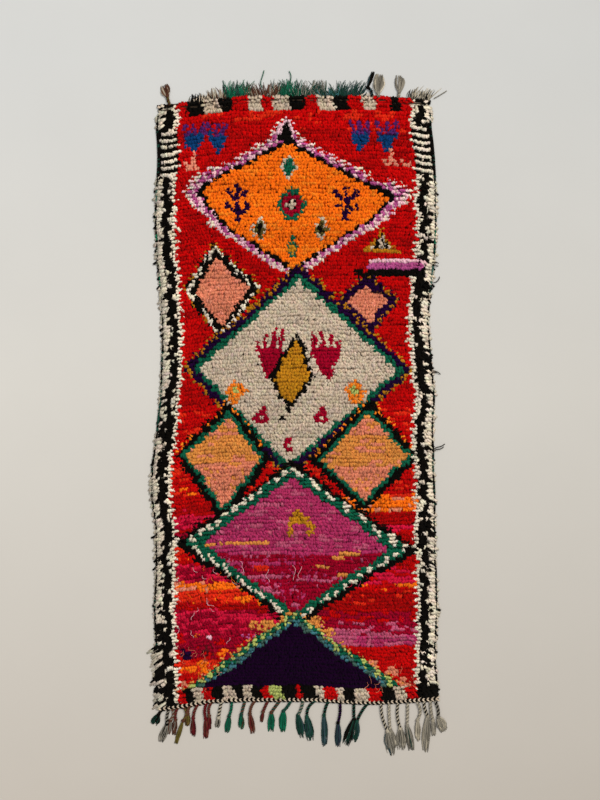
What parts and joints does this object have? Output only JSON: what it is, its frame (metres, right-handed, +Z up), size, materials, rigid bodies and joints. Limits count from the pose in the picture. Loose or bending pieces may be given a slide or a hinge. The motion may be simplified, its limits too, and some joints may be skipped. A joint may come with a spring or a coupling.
{
  "type": "boucherouite rug",
  "caption": "Flat hand-knotted shag rug in wool and rag yarn, with lozenges in serrated borders, a cut fringe at the head and knotted tassels on a twined cord at the foot.",
  "frame": {"origin": "on the underside, in the middle of the knotted field", "axes": "+Y runs from the foot end with its tassels to the head end with its cut fringe, +X across the rug to the right seen from above with the head up, +Z up out of the pile"},
  "size_m": [1.0512, 2.3937, 0.0222],
  "materials": {
    "pile_wool": "deep matt wool and rag pile in many colours",
    "head_yarn": "matt cut rag locks, green, brown and grey",
    "foot_yarn": "matt twisted wool warp with dyed ends"
  },
  "bodies": {
    "root": {"rug_field": "pile_wool", "head_fringe": "head_yarn", "foot_fringe": "foot_yarn"}
  },
  "joints": []
}
